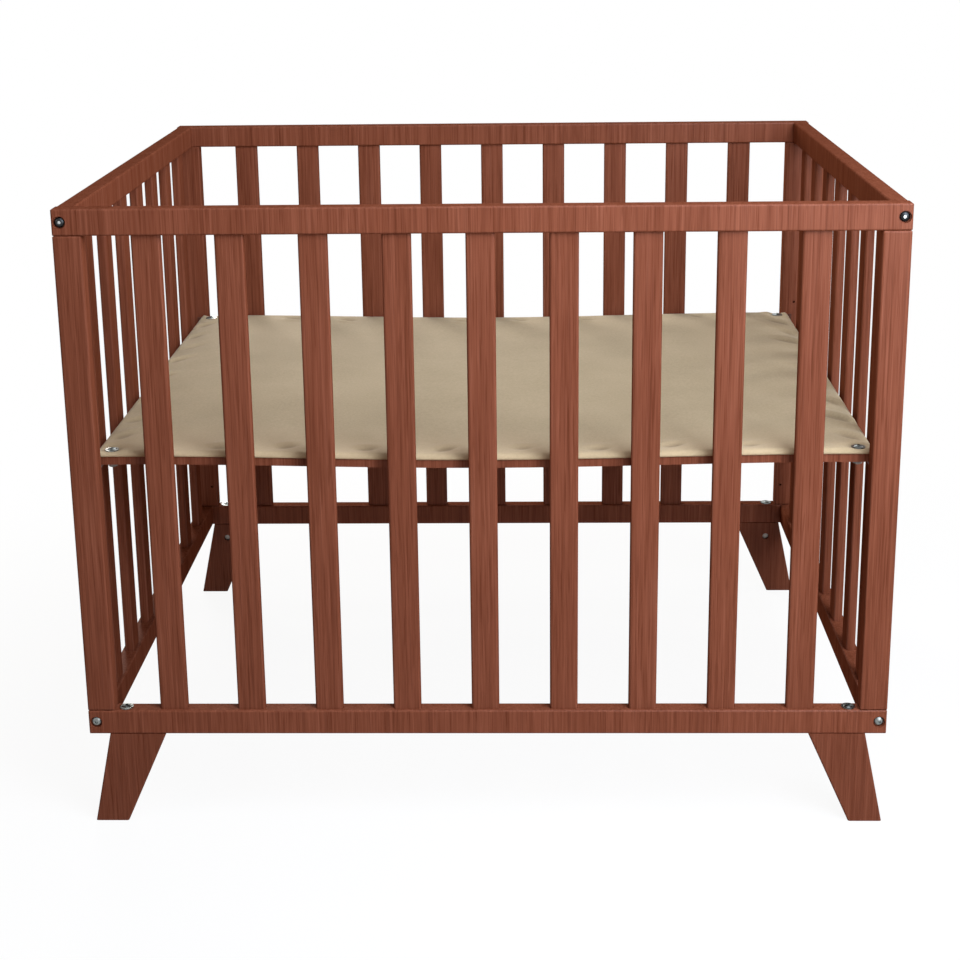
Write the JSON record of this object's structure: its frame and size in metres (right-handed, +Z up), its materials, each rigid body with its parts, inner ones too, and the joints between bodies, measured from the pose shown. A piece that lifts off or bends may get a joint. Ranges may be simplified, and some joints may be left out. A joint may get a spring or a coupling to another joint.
{
  "type": "playpen",
  "caption": "Rectangular slatted wooden playpen on splayed board legs, with a fabric-covered base set at either of two heights.",
  "frame": {"origin": "on the floor, in the middle of the pen's footprint", "axes": "+Z up; +X along the front, to the right when it is seen from the front; +Y from the front to the back"},
  "size_m": [1, 0.784, 0.79],
  "materials": {
    "stained_wood": "reddish-brown stain with fine streaks, satin",
    "hardboard": "matt brown fibre board",
    "cover_fabric": "woven beige fabric",
    "zinc_steel": "zinc-plated",
    "brown_steel": "steel with a dark brown lacquer"
  },
  "bodies": {
    "pen": {"front_top_rail": "stained_wood", "front_bottom_rail": "stained_wood", "front_left_stile": "stained_wood", "front_right_stile": "stained_wood", "front_slat_1": "stained_wood", "front_slat_2": "stained_wood", "front_slat_3": "stained_wood", "front_slat_4": "stained_wood", "front_slat_5": "stained_wood", "front_slat_6": "stained_wood", "front_slat_7": "stained_wood", "front_slat_8": "stained_wood", "front_slat_9": "stained_wood", "back_top_rail": "stained_wood", "back_bottom_rail": "stained_wood", "back_left_stile": "stained_wood", "back_right_stile": "stained_wood", "back_slat_1": "stained_wood", "back_slat_2": "stained_wood", "back_slat_3": "stained_wood", "back_slat_4": "stained_wood", "back_slat_5": "stained_wood", "back_slat_6": "stained_wood", "back_slat_7": "stained_wood", "back_slat_8": "stained_wood", "back_slat_9": "stained_wood", "left_top_rail": "stained_wood", "left_bottom_rail": "stained_wood", "left_slat_1": "stained_wood", "left_slat_2": "stained_wood", "left_slat_3": "stained_wood", "left_slat_4": "stained_wood", "left_slat_5": "stained_wood", "left_slat_6": "stained_wood", "left_slat_7": "stained_wood", "right_top_rail": "stained_wood", "right_bottom_rail": "stained_wood", "right_slat_1": "stained_wood", "right_slat_2": "stained_wood", "right_slat_3": "stained_wood", "right_slat_4": "stained_wood", "right_slat_5": "stained_wood", "right_slat_6": "stained_wood", "right_slat_7": "stained_wood", "leg_front_left": "stained_wood", "leg_front_right": "stained_wood", "leg_back_left": "stained_wood", "leg_back_right": "stained_wood", "bracket_screws": "zinc_steel", "corner_bolts": "zinc_steel", "leg_bolts": "zinc_steel", "barrel_nuts": "zinc_steel"},
    "base": {"base_panel": "hardboard", "base_cover": "cover_fabric", "base_front_batten": "stained_wood", "base_middle_batten": "stained_wood", "base_back_batten": "stained_wood", "base_brackets": "brown_steel", "base_bolts": "zinc_steel", "base_nuts": "zinc_steel"}
  },
  "joints": [
    {"name": "base_height", "type": "slide", "parent": "pen", "child": "base", "axis": [0, 0, 1], "range_m": [-0.287, 0]}
  ]
}
